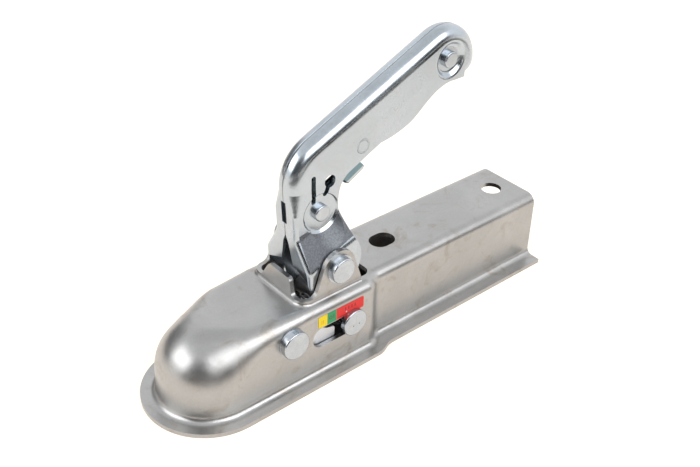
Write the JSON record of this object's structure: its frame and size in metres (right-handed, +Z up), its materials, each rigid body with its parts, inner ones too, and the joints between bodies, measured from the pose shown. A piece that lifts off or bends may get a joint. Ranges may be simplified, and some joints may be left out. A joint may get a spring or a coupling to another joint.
{
  "type": "trailer coupling head",
  "caption": "Pressed-steel trailer coupling head for a towing ball: domed socket, channel for a square drawbar, hinged lever with release catch and a ball jaw.",
  "frame": {"origin": "centre of the 50 mm towing ball when the coupling sits on it", "axes": "+X back along the drawbar, +Z up, -Y towards the side with the indicator label"},
  "size_m": [0.2612, 0.0724, 0.1661],
  "materials": {
    "body_zinc": "satin zinc plate",
    "handle_zinc": "bright zinc plate",
    "pin_zinc": "bright zinc plate",
    "jaw_zinc": "zinc plate",
    "catch_zinc": "bluish zinc plate",
    "inner_steel": "plain steel",
    "spring_steel": "oiled spring wire",
    "label_film": "printed film in three fields of colour"
  },
  "bodies": {
    "coupling": {"coupling_body": "body_zinc", "main_pivot_pin": "pin_zinc", "pivot_washer_near": "pin_zinc", "pivot_washer_far": "pin_zinc", "pivot_sleeve": "inner_steel", "jaw_pin": "pin_zinc", "jaw_pin_washer_near": "pin_zinc", "jaw_pin_washer_far": "pin_zinc", "jaw_pin_sleeve": "inner_steel", "indicator_label": "label_film", "lock_spring": "spring_steel", "jaw_spring": "spring_steel"},
    "lever": {"handle_half_near": "handle_zinc", "handle_half_far": "handle_zinc", "grip_end_rivet": "pin_zinc", "grip_end_spacer": "inner_steel", "neck_rivet": "pin_zinc", "neck_spacer": "inner_steel", "catch_spring": "spring_steel"},
    "jaw": {"ball_jaw": "jaw_zinc"},
    "lock": {"lock_pin": "pin_zinc", "lock_pin_sleeve": "inner_steel"},
    "catch": {"release_catch": "catch_zinc"}
  },
  "joints": [
    {"name": "lever_pivot", "type": "hinge", "parent": "coupling", "child": "lever", "pos_m": [0.0697, 0, 0.0426], "axis": [0, 1, 0], "range_deg": [0, 40]},
    {"name": "lock_slide", "type": "slide", "parent": "coupling", "child": "lock", "axis": [-1, 0, 0], "range_m": [0, 0.014], "deforming": ["lock_spring"]},
    {"name": "jaw_pivot", "type": "hinge", "parent": "coupling", "child": "jaw", "pos_m": [0.0335, 0, 0.0155], "axis": [0, 1, 0], "range_deg": [0, 11], "deforming": ["jaw_spring"]},
    {"name": "catch_pivot", "type": "hinge", "parent": "lever", "child": "catch", "pos_m": [0.0673, 0, 0.0715], "axis": [0, -1, 0], "range_deg": [0, 9], "stiffness_Nm_per_rad": 0.6, "deforming": ["catch_spring"]}
  ],
  "couplings": [
    {"joint": "lock_slide", "follows": "lever_pivot", "m_per_rad": 0.020053},
    {"joint": "jaw_pivot", "follows": "lever_pivot", "ratio": 0.275}
  ]
}
